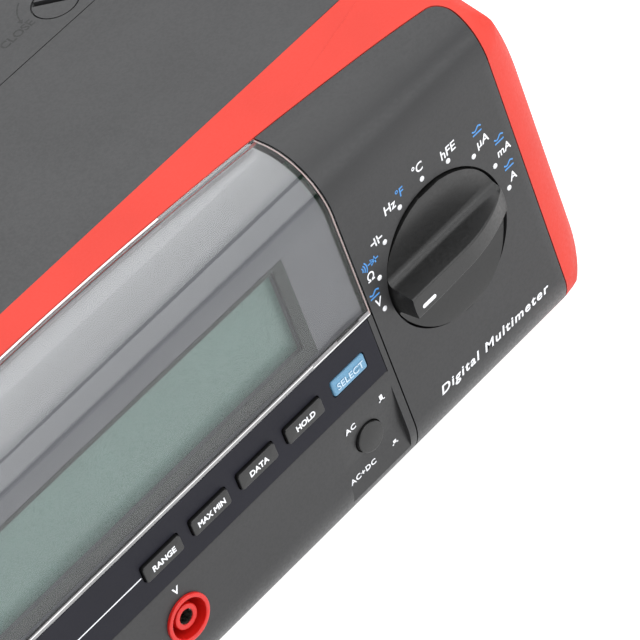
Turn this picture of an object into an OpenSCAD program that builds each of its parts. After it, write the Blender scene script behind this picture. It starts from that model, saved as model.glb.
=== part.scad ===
// Bench multimeter: a low, wide mains and battery instrument with a display on
// the left, a rotary selector on the right and four test sockets below.
// Millimetres. +Z is up, the front faces -Y, and the origin is at the bottom
// centre of the whole instrument.

/* [Body] */
// Overall width, across the front surround
width = 310; // [308:1:312]
// Overall depth, from the selector's face to the back of the handle
depth = 240; // [239:1:242]
// Overall height, feet included
height = 105; // [104:0.5:106]
// Height of the rubber feet below the front end
foot_h = 3; // [2.5:0.5:3.5]
// Thickness of the moulded walls
wall = 2.6; // [2.2:0.1:3]
// Width of the case behind the surround
case_w = 288; // [287:1:289]
// Height of the split between the two halves of the case
split_z = 52; // [50:1:54]

/* [Front end] */
// Radius of the long front edges
edge_r = 16; // [14:0.5:17]
// Distance from the front face to the back edge of the surround
surround_d = 35; // [34:0.5:37]
// Radius, seen from above, of the arched edge of the dark panels
arch_r = 775; // [700:5:900]
// Distance from the front face to the middle of the arched edge
arch_d = 24.9; // [24:0.1:26]
// Half the width of the dark panels, behind the rounding of their front edge
panel_half = 139.7; // [139:0.1:141]
// Place of the seam between the display side and the selector side
seam_x = 82.7; // [82:0.1:84]
// Gap between neighbouring panels
gap = 0.4; // [0.3:0.05:0.5]

/* [Display] */
// Left end of the window and of the button strip
window_x0 = -100; // [-102:1:-96]
// Lower edge of the window
window_z = 56.3; // [56:0.1:57]
// Thickness of the clear window
window_t = 1.8; // [1.5:0.1:2]
// Visible area of the display: left, bottom, right, top
lcd_view = [-80, 61.1, 62.6, 87.6];

/* [Controls] */
// Centre of the selector, across
knob_x = 109.4; // [109:0.1:110]
// Centre of the selector, up
knob_z = 54.5; // [54:0.1:55]
// Radius of the selector's disc
knob_r = 19.8; // [19.5:0.1:20]
// Height of the selector's grip over the panel
knob_h = 7.6; // [7.2:0.1:8]
// Radius of the round well that holds the selector
well_r = 20.4; // [20.2:0.1:20.6]
// Distance between neighbouring push buttons
button_pitch = 16.45; // [16.2:0.05:16.6]
// Centre of the first push button, across
button_x = 4.5; // [4:0.1:5]
// Centre line of the push buttons, up
button_z = 46.9; // [46.5:0.1:47.5]

/* [Test sockets] */
// Outer radius of a test socket
jack_r = 6.5; // [6.3:0.1:6.7]
// Distance between neighbouring test sockets
jack_pitch = 34.5; // [33:0.5:35]
// Height of the sockets' centres
jack_z = 26; // [25.5:0.1:26.5]
// Radius of the metal contact's bore, for a 4 mm plug
contact_r = 2; // [1.98:0.01:2.05]

/* [Hidden] */
$fn = 48;
BIG_FN = 720;
front_y = -depth / 2 + knob_h;
frame_y = front_y + surround_d;
rear_y = depth / 2 - 16;
arch_y = front_y + arch_d;
// roundings of the front end, measured this far behind its face: each one opens
// out towards the back by its flare, in mm of radius for each mm of depth
round_d = 8;
round_half = 154.2;
side_r = 19.2;
top_r = 24.5;
top_flare = 0.2;
low_r = 30;
low_flare = 0.25;
barrel_r = 172.4;
barrel_flare = 0.12;
barrel_z = 45;
// plan of the dark panels
panel_side_r = 26;
panel_side_d = 6;
panel_corner_r = 5;
case_x = case_w / 2;
case_z0 = foot_h + 0.6;
case_z1 = height - 0.4;
shell = 3;
board_y = front_y + 15;
board_t = 1.6;
strip_z0 = 38.4;
strip_x1 = 81;
strip_t = 1.4;
cap_proud = 1.2;
select_proud = 0.7;
ac_proud = 0.5;
ac_r = 4.15;
hub_r = 5;
grip_w = 3;
grip_flat = -1.4;
grip_r = 38;
fit = 0.06;
ac_x = 69.8;
ac_z = 26;
scoop_x0 = 59.4;
scoop_x1 = 80.3;
scoop_d = 1.5;
left_x = -119;
power_z = 72;
light_z = 47;
lid_y0 = front_y + 95;
lid_y1 = lid_y0 + 100;
lid_x = 125;
lid_t = 2.4;
ledge_in = 1.4;
ledge_out = 3;
ledge_t = 2.2;
lock_x = 96.7;
lock_y = lid_y0 + 9.4;
lock_r = 6;
lock_slot_a = -48;
tray_z = case_z1 - lid_t - ledge_t;
pivot_y = 5;
pivot_z = 84;
pivot_r = 4;
arm_x0 = case_x + 1.6;
arm_x1 = arm_x0 + 7.4;
arm_h = 15;
grip_y0 = depth / 2 - 14;
leg_x = 100;
leg_y = -66;
leg_z = 7.2;
leg_len = 36;
leg_w = 15;
leg_pin_r = 1.5;
leg_r = 2.6;
inlet_x = -84;
inlet_z = 36;
fuse_x = -48;
serial_x = 24;
usb_x = 62;
port_z = 36;
rear_half = 118;
// height of the two flat boards over the bottom
base_z = 15;
// case screws: post, pilot hole, clearance hole and head recess
post_r = 4.5;
pilot_r = 1.5;
clear_r = 1.8;
head_r = 3.2;
foot_r = 7;
well_d = 4.6;
groove_w = 0.4;
button_gap = 0.3;
side_half = [5.6, 3.6];
groove_r = jack_r - 1.2;
tube_r = 3.45;
sleeve_r = 3;
glass_d = 4.9;
glass_t = 2.8;
coil_x = -81;
// centres of the lid's rear tongues, either side of the middle
tongue_x = 70;
jack_xs = [for (i = [0:3]) button_x - i * jack_pitch];
button_xs = [for (i = [0:4]) button_x + i * button_pitch];
screw_at = [for (sx = [-1, 1], sy = [-54, 88]) [sx * 130, sy]];
foot_at = [for (sx = [-1, 1], sy = [-62, 76]) [sx * 124, sy]];
board_post_at = [[-122, 20], [-24, 20], [-122, 84], [-24, 84], [10, -14], [114, -14], [10, 70], [114, 70]];

vent_xs = [for (s = [-70, 70], i = [-4:4]) s + i * 8];

// ---------- helpers ----------

// A rectangle with round corners: r0 below, r1 above
module round_rect(x0, y0, x1, y1, r0, r1) {
  translate([x0 + r0, y0]) square([x1 - x0 - 2 * r0, y1 - y0 - r1]);
  translate([x0 + r1, y0 + r0]) square([x1 - x0 - 2 * r1, y1 - y0 - r0]);
  translate([x0, y0 + r0]) square([x1 - x0, y1 - y0 - r0 - r1]);
  for (x = [x0 + r0, x1 - r0]) translate([x, y0 + r0]) circle(r0);
  for (x = [x0 + r1, x1 - r1]) translate([x, y1 - r1]) circle(r1);
}

// Extrudes an outline drawn in X and Z, from y0 to y1
module along_y(y0, y1) {
  translate([0, y1, 0]) rotate([90, 0, 0]) linear_extrude(y1 - y0) children();
}

// Extrudes an outline drawn in Y and Z, from x0 to x1
module along_x(x0, x1) {
  translate([x0, 0, 0]) rotate([90, 0, 90]) linear_extrude(x1 - x0) children();
}

// A cylinder along Y, from y0 to y1
module rod_y(x, z, r, y0, y1) {
  translate([x, y1, z]) rotate([90, 0, 0]) cylinder(r = r, h = y1 - y0);
}

// A cylinder along X, from x0 to x1
module rod_x(y, z, r, x0, x1) {
  translate([x0, y, z]) rotate([0, 90, 0]) cylinder(r = r, h = x1 - x0);
}

// A box from one corner to the other
module block(x0, y0, z0, x1, y1, z1) {
  translate([x0, y0, z0]) cube([x1 - x0, y1 - y0, z1 - z0]);
}

// A cone along Y that has radius r at the depth round_d and opens out to the back
module flared_rod(x, z, r, flare) {
  translate([x, frame_y + 1, z]) rotate([90, 0, 0])
    cylinder(r1 = r + flare * (surround_d + 1 - round_d), r2 = r - flare * (round_d + 1),
             h = surround_d + 2, $fn = BIG_FN);
}

// What a flared rounding takes off one corner: sx and sz point out of the corner
module corner_waste(sx, sz, r, flare, i) {
  x = sx * (round_half - r);
  z = sz > 0 ? height - r : foot_h + r;
  far = r + 20;
  difference() {
    block(min(x, x + sx * far), front_y - 2, min(z, z + sz * far), max(x, x + sx * far), frame_y + 2,
          max(z, z + sz * far));
    flared_rod(x, z, r - i, flare);
  }
}

// The rounded solid of the whole front end, drawn in by i on every side
module slab(i) {
  difference() {
    intersection() {
      along_x(-width / 2 + i, width / 2 - i)
        round_rect(front_y + i, foot_h + i, frame_y + 40, height - i, edge_r - i, edge_r - i);
      linear_extrude(height + 10)
        round_rect(-width / 2 + i, front_y + i, width / 2 - i, frame_y + 40, side_r - i, side_r - i);
      block(-width, front_y - 1, 0, width, frame_y, height + 10);
      flared_rod(round_half - barrel_r, barrel_z, barrel_r - i, barrel_flare);
      flared_rod(barrel_r - round_half, barrel_z, barrel_r - i, barrel_flare);
    }
    for (s = [-1, 1]) {
      corner_waste(s, 1, top_r, top_flare, i);
      corner_waste(s, -1, low_r, low_flare, i);
    }
  }
}

// Plan of the dark panels, drawn in by i: arched at the back, round at the corners
module panel_plan(i) {
  arch_y0 = arch_y - arch_r;
  corner_x = panel_half - panel_corner_r;
  corner_y = arch_y0 + sqrt(pow(arch_r - panel_corner_r, 2) - pow(corner_x, 2));
  touch_x = corner_x * arch_r / (arch_r - panel_corner_r);
  intersection() {
    translate([0, arch_y0]) circle(arch_r - i, $fn = BIG_FN);
    translate([-touch_x, front_y - 2]) square([2 * touch_x, 60]);
  }
  translate([-panel_half + i, front_y - 2]) square([2 * (panel_half - i), corner_y - front_y + 2]);
  for (s = [-1, 1]) translate([s * corner_x, corner_y]) circle(panel_corner_r - i);
}

// The part of the front end that the dark panels cover, drawn in by i
module panel_zone(i) {
  y0 = front_y + panel_side_d - panel_side_r;
  translate([0, 0, -5]) linear_extrude(height + 20) intersection() {
    panel_plan(i);
    round_rect(-panel_half + i, y0, panel_half - i, y0 + 80, panel_side_r - i, 2);
  }
}

// The thin groove round the case where it meets the front end
module joint_groove() {
  difference() {
    block(-200, frame_y, -1, 200, frame_y + groove_w, height + 1);
    case_solid(0.8);
  }
}

// The rounded solid of the case behind the front end, drawn in by i
module case_solid(i) {
  intersection() {
    along_y(frame_y - 5, rear_y - i)
      round_rect(-case_x + i, case_z0 + i, case_x - i, case_z1 - i, 6 - i, 14 - i);
    linear_extrude(height + 10)
      round_rect(-case_x + i, frame_y - 40, case_x - i, rear_y - i, 10, 12 - i);
    along_x(-case_x, case_x)
      round_rect(frame_y - 40, case_z0 + i, rear_y - i, case_z1 - i, 5 - i, 10 - i);
  }
}

// ---------- case ----------

module leg_pocket(side) {
  x = side * leg_x;
  block(x - leg_w / 2 - 2.6, leg_y - 5.6, case_z0, x + leg_w / 2 + 2.6, leg_y + leg_len + 5,
        12.6);
}

module leg_hollow(side) {
  x = side * leg_x;
  block(x - leg_w / 2 - 0.5, leg_y - 3.4, 0, x + leg_w / 2 + 0.5, leg_y + leg_len + 2.6, 10.4);
}

module bottom_case() {
  color("dimgray") difference() {
    union() {
      intersection() {
        difference() {
          case_solid(0);
          case_solid(wall);
        }
        block(-200, frame_y, -1, 200, 200, split_z);
      }
      for (p = screw_at) translate([p[0], p[1], case_z0 + 1])
        cylinder(r = post_r, h = split_z - case_z0 - 3);
      for (s = [-1, 1]) leg_pocket(s);
      // posts for the two flat boards
      for (p = board_post_at) translate([p[0], p[1], case_z0 + 1])
        cylinder(r = 3, h = base_z - case_z0 - 1);
    }
    joint_groove();
    for (s = [-1, 1]) leg_hollow(s);
    for (s = [-1, 1])
      rod_x(leg_y, leg_z, leg_pin_r + fit, s * leg_x - leg_w / 2 - 2, s * leg_x + leg_w / 2 + 2);
    for (p = screw_at) translate([p[0], p[1], 0]) {
      cylinder(r = clear_r, h = split_z + 1);
      cylinder(r = head_r, h = case_z0 + 6);
    }
    for (p = foot_at) translate([p[0], p[1], 0]) cylinder(r = foot_r + 0.1, h = case_z0 + 0.8);
    // opening for the rear panel
    block(-rear_half - 0.3, rear_y - wall - 1, 13.7, rear_half + 0.3, rear_y + 1, split_z + 1);
    // cooling slots below the transformer
    for (i = [0:7]) block(-104 + i * 9, 34, 0, -100 + i * 9, 72, case_z0 + wall + 1);
  }
}

module top_cover() {
  color("gray") difference() {
    union() {
      intersection() {
        difference() {
          case_solid(0);
          case_solid(wall);
        }
        block(-200, frame_y, split_z, 200, 200, height + 1);
      }
      // ledge that the battery lid rests on
      difference() {
        block(-lid_x - ledge_out, lid_y0 - ledge_out, tray_z, lid_x + ledge_out, lid_y1 + ledge_out,
              case_z1 - 1);
        block(-lid_x + ledge_in, lid_y0 + ledge_in, 0, lid_x - ledge_in, lid_y1 - ledge_in, height);
      }
      for (p = screw_at) translate([p[0], p[1], split_z - 2]) cylinder(r = post_r, h = case_z1 - split_z);
      // bosses round the handle's pivots
      for (s = [-1, 1]) rod_x(pivot_y, pivot_z, 8, s > 0 ? case_x - 9 : -case_x + 0.2,
                              s > 0 ? case_x - 0.2 : -case_x + 9);
    }
    joint_groove();
    block(-lid_x - 0.3, lid_y0 - 0.3, case_z1 - lid_t - 0.3, lid_x + 0.3, lid_y1 + 0.3, height + 1);
    // room for the bosses round the coin locks
    for (s = [-1, 1]) translate([s * lock_x, lock_y, case_z1 - 8]) cylinder(r = 8.6, h = 8);
    // room for the lid's two rear tongues
    for (s = [-1, 1]) block(s * tongue_x - 7, lid_y1 - 6, case_z1 - 8, s * tongue_x + 7, lid_y1 + 6,
                            case_z1 - wall);
    for (s = [-1, 1]) rod_x(pivot_y, pivot_z, pivot_r + fit, s > 0 ? case_x - 8 : -case_x - 1,
                            s > 0 ? case_x + 1 : -case_x + 8);
    for (p = screw_at) translate([p[0], p[1], split_z - 3]) cylinder(r = pilot_r, h = 26);
    block(-rear_half - 0.3, rear_y - wall - 1, split_z - 1, rear_half + 0.3, rear_y + 1, 72.3);
    // cooling slots high on the back wall
    for (x = vent_xs) block(x - 2, rear_y - wall - 1, 92, x + 2, rear_y + 1, 94);
  }
}

module rear_panel() {
  color("dimgray") difference() {
    union() {
      block(-rear_half, rear_y - wall, 14, rear_half, rear_y - 0.4, 72);
      block(-rear_half - 3, rear_y - wall - 1.8, 11, rear_half + 3, rear_y - wall, 75);
    }
    block(inlet_x - 14, rear_y - 9, inlet_z - 10.2, inlet_x + 14, rear_y + 1, inlet_z + 10.2);
    rod_y(fuse_x, inlet_z, 7, rear_y - 9, rear_y + 1);
    block(serial_x - 9.6, rear_y - 9, port_z - 5.6, serial_x + 9.6, rear_y + 1, port_z + 5.6);
    block(usb_x - 6.2, rear_y - 9, port_z - 5.6, usb_x + 6.2, rear_y + 1, port_z + 5.6);
  }
}

module front_frame() {
  color("tomato") difference() {
    slab(0);
    difference() {
      slab(shell);
      block(-200, frame_y - shell, 0, 200, 200, 200);
    }
    panel_zone(0);
    case_solid(wall);
  }
}

// A thin curved panel of the front end
module front_skin(outer, inner, i) {
  intersection() {
    difference() {
      slab(outer);
      slab(inner);
    }
    panel_zone(i);
  }
}

module knob_fascia() {
  well_y = front_y + well_d;
  color("dimgray") difference() {
    union() {
      intersection() {
        front_skin(0, shell, gap);
        block(seam_x + gap / 2, -200, 0, 200, 200, 200);
      }
      rod_y(knob_x, knob_z, well_r + 2, front_y + 2, well_y + 2);
      rod_y(knob_x, knob_z, 9, well_y, front_y + 10);
    }
    rod_y(knob_x, knob_z, well_r, front_y - 1, well_y);
    rod_y(knob_x, knob_z, hub_r + fit, front_y, front_y + 12);
  }
}

module meter_fascia() {
  color("dimgray") difference() {
    union() {
      intersection() {
        front_skin(0, shell, gap);
        block(-200, -200, 0, seam_x - gap / 2, 200, 200);
      }
      // guide tubes of the round button and of the two left buttons
      rod_y(ac_x, ac_z, ac_r + 2, front_y + 2, front_y + 8);
      for (z = [power_z, light_z])
        block(left_x - 8, front_y + 2, z - 6, left_x + 8, front_y + 8, z + 6);
    }
    block(window_x0 - 0.2, -200, window_z - 0.2, 200, 200, 200);
    block(window_x0 - 0.2, front_y - 1, strip_z0, strip_x1, front_y + strip_t, window_z);
    for (x = button_xs)
      block(x - 7, front_y - 1, button_z - 3.6, x + 7, front_y + 5, button_z + 3.6);
    for (x = jack_xs) rod_y(x, jack_z, jack_r, front_y - 1, front_y + 5);
    rod_y(ac_x, ac_z, ac_r + button_gap, front_y - 1, front_y + 9);
    for (z = [power_z, light_z])
      block(left_x - side_half[0] - button_gap, front_y - 1, z - side_half[1] - button_gap,
            left_x + side_half[0] + button_gap, front_y + 9, z + side_half[1] + button_gap);
    // shallow scoop round the mode button, running out into the lower lip
    along_x(scoop_x0, scoop_x1)
      polygon([[front_y - 1, 34], [front_y, 34], [front_y + scoop_d, 22], [front_y + scoop_d, 0],
               [front_y - 1, 0]]);
  }
}

module display_window() {
  color("lightblue", 0.4) intersection() {
    front_skin(0, window_t, gap);
    block(window_x0, -200, window_z, seam_x - gap / 2, 200, 200);
  }
}

module button_strip() {
  color("slategray") difference() {
    block(window_x0, front_y, strip_z0 + 0.2, strip_x1 - 0.2, front_y + strip_t, window_z - 0.2);
    for (i = [0:4]) button_hole(i);
  }
}

// ---------- controls ----------

// Half width and half height of each push button: the last one is narrower
function button_half(i) = i < 4 ? [6.3, 2.35] : [5.8, 2.35];

module button_hole(i) {
  w = button_half(i)[0] + button_gap;
  h = button_half(i)[1] + button_gap;
  x = button_xs[i];
  along_y(front_y - 1, front_y + 3)
    round_rect(x - w, button_z - h, x + w, button_z + h, 0.9, 0.9);
}

// A push button's cap, its retaining flange and its stem
module push_button(i, proud) {
  h = button_half(i);
  x = button_xs[i];
  along_y(front_y - proud, front_y + 5)
    round_rect(x - h[0], button_z - h[1], x + h[0], button_z + h[1], 0.7, 0.7);
  block(x - h[0] + 0.2, front_y + strip_t + 0.3, button_z - 3.2, x + h[0] - 0.2, front_y + 3.6,
        button_z + 3.2);
  rod_y(x, button_z, 1.8, front_y + 3, front_y + 9);
}

module range_button() { color("dimgray") push_button(0, cap_proud); }
module max_min_button() { color("dimgray") push_button(1, cap_proud); }
module data_button() { color("dimgray") push_button(2, cap_proud); }
module hold_button() { color("dimgray") push_button(3, cap_proud); }
module select_button() { color("skyblue") push_button(4, select_proud); }

module ac_dc_button() {
  color("dimgray") {
    rod_y(ac_x, ac_z, ac_r, front_y - ac_proud, front_y + 7.4);
    rod_y(ac_x, ac_z, 2, front_y + 7, front_y + 9.4);
  }
}

// The two buttons at the left latch in like the round one
module side_button(z) {
  w = side_half[0];
  h = side_half[1];
  along_y(front_y - 1.8, front_y + 7.4) round_rect(left_x - w, z - h, left_x + w, z + h, 1, 1);
  rod_y(left_x, z, 2, front_y + 7, front_y + 9.4);
}

module power_button() { color("tomato") side_button(power_z); }
module light_button() { color("dimgray") side_button(light_z); }

// Side outline of the grip: level at the pointer's end, then falling away in an arc
module grip_side() {
  top_y = front_y - knob_h;
  translate([knob_x - 30, top_y]) square([30 + grip_flat, knob_h + 2]);
  translate([knob_x + grip_flat, top_y + grip_r]) circle(grip_r, $fn = 360);
}

module selector_knob() {
  color("dimgray") {
    difference() {
      rod_y(knob_x, knob_z, knob_r, front_y - 0.8, front_y + 4);
      // the two halves of the disc dip towards the grip
      for (s = [-1, 1]) translate([knob_x, front_y - 26.2, knob_z + s * 9]) rotate([0, 90, 0])
        cylinder(r = 26.4, h = 60, center = true, $fn = 128);
    }
    intersection() {
      rod_y(knob_x, knob_z, knob_r - 0.4, front_y - knob_h, front_y + 2);
      along_x(knob_x - 30, knob_x + 30)
        polygon([[front_y - knob_h, knob_z - grip_w], [front_y - knob_h, knob_z + grip_w],
                 [front_y + 2, knob_z + grip_w + 1.2], [front_y + 2, knob_z - grip_w - 1.2]]);
      linear_extrude(height) grip_side();
    }
    rod_y(knob_x, knob_z, hub_r, front_y + 3, front_y + 11.4);
  }
}

module switch_rotor() {
  color("ivory") difference() {
    rod_y(knob_x, knob_z, 16, front_y + 11.4, front_y + 13.2);
    for (a = [0:22.5:337.5]) translate([knob_x, 0, knob_z]) rotate([0, a, 0])
      rod_y(16.4, 0, 1, front_y + 10, front_y + 14);
  }
}

module wiper_contacts() {
  color("gold") for (a = [30, 150, 270]) translate([knob_x, 0, knob_z]) rotate([0, a, 0]) {
    block(6, front_y + 13.2, -1.5, 13, front_y + 13.6, 1.5);
    block(11.6, front_y + 13.6, -1, 13, front_y + 14.6, 1);
  }
}

module detent_spring() {
  color("silver") {
    block(knob_x - 9, front_y + 11.6, knob_z + 17.4, knob_x + 9, front_y + 13, knob_z + 17.9);
    for (s = [-1, 1]) block(knob_x + s * 9.5 - 1.5, front_y + 11, knob_z + 16.6,
                            knob_x + s * 9.5 + 1.5, front_y + 15, knob_z + 18.8);
  }
}

module latching_switches() {
  color("black") for (p = [[ac_x, ac_z], [left_x, power_z], [left_x, light_z]]) difference() {
    block(p[0] - 4.5, front_y + 9.2, p[1] - 4.5, p[0] + 4.5, board_y, p[1] + 4.5);
    rod_y(p[0], p[1], 2.4, front_y + 8, front_y + 14);
  }
}

module tact_switches() {
  color("black") for (x = button_xs) {
    block(x - 3, front_y + 11.6, button_z - 3, x + 3, board_y, button_z + 3);
    rod_y(x, button_z, 1.7, front_y + 10.2, front_y + 11.6);
  }
}

// ---------- test sockets ----------

module jack(i) {
  x = jack_xs[i];
  difference() {
    union() {
      rod_y(x, jack_z, jack_r, front_y - 0.8, front_y + 26);
      rod_y(x, jack_z, 7.6, front_y + shell, front_y + 6);
    }
    difference() {
      rod_y(x, jack_z, groove_r, front_y - 2, front_y + 20);
      rod_y(x, jack_z, tube_r, front_y + 0.4, front_y + 21);
    }
    rod_y(x, jack_z, sleeve_r, front_y - 2, front_y + 30);
  }
}

module jack_volts() { color("red") jack(0); }
module jack_common() { color("black") jack(1); }
module jack_milliamps() { color("red") jack(2); }
module jack_amps() { color("red") jack(3); }

module jack_sleeves() {
  color("silver") for (x = jack_xs) {
    difference() {
      rod_y(x, jack_z, sleeve_r, front_y + 0.8, front_y + 26);
      rod_y(x, jack_z, contact_r, front_y, front_y + 24);
    }
    block(x - 2, front_y + 26, jack_z - 0.5, x + 2, front_y + 33, jack_z + 0.5);
  }
}

// ---------- display ----------

module lcd_glass() {
  color("darkseagreen") block(lcd_view[0] - 4, front_y + glass_d, lcd_view[1] - 3,
                              lcd_view[2] + 4, front_y + glass_d + glass_t, lcd_view[3] + 3);
}

module lcd_backlight() {
  y0 = front_y + glass_d + glass_t;
  color("white") block(lcd_view[0] - 3, y0, lcd_view[1] - 0.5, lcd_view[2] + 3, y0 + 3.2,
                       lcd_view[3] + 0.5);
}

module lcd_connectors() {
  color("black") for (z = [lcd_view[1] - 2.6, lcd_view[3] + 0.8])
    block(lcd_view[0] - 2, front_y + glass_d + glass_t, z, lcd_view[2] + 2, board_y, z + 1.8);
}

module lcd_frame() {
  color("gray") difference() {
    union() {
      intersection() {
        slab(window_t + 0.4);
        block(window_x0 + 1.5, front_y, window_z + 0.8, seam_x - 1.5, board_y, 95);
      }
      // thin top, behind the curved part of the window
      intersection() {
        difference() {
          slab(window_t + 0.4);
          slab(window_t + 1.8);
        }
        block(window_x0 + 1.5, front_y, 94, seam_x - 1.5, arch_y, height);
        panel_zone(1);
      }
    }
    // seat of the glass
    block(lcd_view[0] - 4, front_y + glass_d, lcd_view[1] - 3, lcd_view[2] + 4, board_y + 1,
          lcd_view[3] + 3);
    // viewing opening, stepped outwards
    block(lcd_view[0], front_y, lcd_view[1], lcd_view[2], front_y + 6, lcd_view[3]);
    block(lcd_view[0] - 1.5, front_y, lcd_view[1] - 1, lcd_view[2] + 1.5, front_y + 3.6,
          lcd_view[3] + 1);
    // hollow back, either side of the glass
    block(window_x0 + 3.5, front_y + 5, window_z + 3, lcd_view[0] - 6, board_y + 1, 93);
    block(lcd_view[2] + 6, front_y + 5, window_z + 3, seam_x - 3.5, board_y + 1, 93);
  }
}

module main_board() {
  color("seagreen") difference() {
    block(-132, board_y, 12, 134, board_y + board_t, 96);
    for (x = jack_xs) rod_y(x, jack_z, 7, board_y - 1, board_y + 3);
    rod_y(knob_x, knob_z, 2, board_y - 1, board_y + 3);
  }
}

// ---------- battery compartment ----------

module battery_lid() {
  z0 = case_z1 - lid_t;
  color("gray") difference() {
    union() {
      block(-lid_x, lid_y0, z0, lid_x, lid_y1, case_z1);
      for (s = [-1, 1]) translate([s * lock_x, lock_y, z0 - 2.4]) cylinder(r = 8, h = 3);
      // rear tongues that hook under the cover
      for (s = [-1, 1]) {
        x = s * tongue_x;
        block(x - 6, lid_y1 - 5, z0 - 2.6, x + 6, lid_y1 - 3.2, z0 + 0.5);
        block(x - 6, lid_y1 - 5, z0 - 2.6, x + 6, lid_y1 + 3.6, z0 - 0.8);
      }
      // stiffening ribs
      for (y = [20, 44, 66]) block(-90, lid_y0 + y, z0 - 1.6, 90, lid_y0 + y + 1.6, z0 + 0.5);
    }
    for (s = [-1, 1]) translate([s * lock_x, lock_y, 0]) {
      translate([0, 0, z0 - 5]) cylinder(r = lock_r + fit, h = 12);
      // shallow ring round the lock
      translate([0, 0, case_z1 - 0.8]) cylinder(r = lock_r + 0.4, h = 2);
    }
  }
}

module coin_lock(side) {
  translate([side * lock_x, lock_y, 0]) difference() {
    union() {
      translate([0, 0, case_z1 - 7.2]) cylinder(r = lock_r, h = 7.1);
      translate([0, 0, case_z1 - 7.2]) cylinder(r = lock_r + 1, h = 2);
      // cam that turns under the cover's ledge
      translate([-14, -2.5, case_z1 - 7.2]) cube([14, 5, 2]);
    }
    // coin slot with a round floor
    translate([0, 1, case_z1 + 3.4]) rotate([90, 0, lock_slot_a]) cylinder(r = 7, h = 1.8, center = true);
  }
}

module coin_lock_left() { color("dimgray") coin_lock(-1); }
module coin_lock_right() { color("dimgray") coin_lock(1); }

module battery_tray() {
  color("dimgray") difference() {
    union() {
      block(-84, 12, tray_z - 36, 84, 76, tray_z);
      // side flanges that hang from the cover's ledge
      block(-lid_x - 2, 10, tray_z - 1.6, lid_x + 2, 77, tray_z);
    }
    block(-82, 14, tray_z - 34, 82, 74, tray_z + 1);
  }
}

module battery_contacts() {
  z1 = tray_z - 2;
  color("silver") for (i = [0, 1]) {
    block(-82, 16 + i * 30, z1 - 30, -81.6, 42 + i * 30, z1 - 4);
    block(81.6, 16 + i * 30, z1 - 30, 82, 42 + i * 30, z1 - 4);
    rod_x(29 + i * 30, z1 - 17, 5, -81.6, -78);
  }
}

// ---------- handle, legs, feet ----------

// The handle's arms and grip, lying flat
module handle_loop() {
  difference() {
    linear_extrude(arm_h) round_rect(-arm_x1, pivot_y - 30, arm_x1, depth / 2, 6, 12);
    translate([0, 0, -1]) linear_extrude(arm_h + 2)
      round_rect(-arm_x0, pivot_y - 60, arm_x0, grip_y0, 2, 9);
    block(-200, -200, -1, 200, pivot_y, arm_h + 1);
  }
}

module carry_handle() {
  color("dimgray") {
    translate([0, 0, pivot_z - arm_h / 2]) handle_loop();
    for (s = [-1, 1]) {
      rod_x(pivot_y, pivot_z, arm_h / 2, s > 0 ? arm_x0 : -arm_x1, s > 0 ? arm_x1 : -arm_x0);
      rod_x(pivot_y, pivot_z, pivot_r, s > 0 ? case_x - 7 : -arm_x0, s > 0 ? arm_x0 : -case_x + 7);
    }
  }
}

module tilt_leg(side) {
  translate([side * leg_x, 0, 0]) {
    rod_x(leg_y, leg_z, leg_pin_r, -leg_w / 2 - 1.8, leg_w / 2 + 1.8);
    rod_x(leg_y, leg_z, leg_r, -leg_w / 2, leg_w / 2);
    block(-leg_w / 2, leg_y, leg_z - leg_r, leg_w / 2, leg_y + leg_len - 2, leg_z + leg_r);
    rod_x(leg_y + leg_len - 2, leg_z, leg_r, -leg_w / 2, leg_w / 2);
  }
}

module tilt_leg_left() { color("dimgray") tilt_leg(-1); }
module tilt_leg_right() { color("dimgray") tilt_leg(1); }

module rubber_feet() {
  color("black") for (p = foot_at) translate([p[0], p[1], 0]) {
    cylinder(r = foot_r, h = case_z0 + 0.8);
  }
}

module case_screws() {
  color("silver") for (p = screw_at) translate([p[0], p[1], case_z0 + 3]) difference() {
    union() {
      cylinder(r = 2.8, h = 3);
      cylinder(r = 1.45, h = 62);
    }
    for (a = [0, 90]) rotate([0, 0, a]) translate([-1.8, -0.4, -1]) cube([3.6, 0.8, 2.2]);
  }
}

// ---------- back ----------

module mains_inlet() {
  color("black") difference() {
    union() {
      block(inlet_x - 13.8, rear_y - 20, inlet_z - 10, inlet_x + 13.8, rear_y, inlet_z + 10);
      block(inlet_x - 16, rear_y - 0.4, inlet_z - 12, inlet_x + 16, rear_y + 1.4, inlet_z + 12);
    }
    block(inlet_x - 12.2, rear_y - 15.4, inlet_z - 8, inlet_x + 12.2, rear_y + 2, inlet_z + 8);
  }
}

module inlet_blades() {
  color("silver") for (p = [[-7, 2], [0, -2], [7, 2]])
    block(inlet_x + p[0] - 1, rear_y - 15.4, inlet_z + p[1] - 2, inlet_x + p[0] + 1,
          rear_y - 2, inlet_z + p[1] + 2);
}

module serial_port() {
  color("silver") difference() {
    union() {
      block(serial_x - 15.4, rear_y - 0.4, port_z - 6.3, serial_x + 15.4, rear_y + 0.6, port_z + 6.3);
      along_y(rear_y - 12, rear_y + 1)
        round_rect(serial_x - 9.4, port_z - 5.4, serial_x + 9.4, port_z + 5.4, 2, 2);
      along_y(rear_y, rear_y + 1.8)
        polygon([[serial_x - 7.6, port_z - 4], [serial_x + 7.6, port_z - 4],
                 [serial_x + 9, port_z + 4], [serial_x - 9, port_z + 4]]);
      for (s = [-1, 1]) rod_y(serial_x + s * 12.5, port_z, 2.4, rear_y, rear_y + 1.8);
    }
    for (i = [0:4]) rod_y(serial_x - 5.5 + i * 2.75, port_z + 1.42, 0.6, rear_y - 4, rear_y + 3);
    for (i = [0:3]) rod_y(serial_x - 4.1 + i * 2.75, port_z - 1.42, 0.6, rear_y - 4, rear_y + 3);
  }
}

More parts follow.
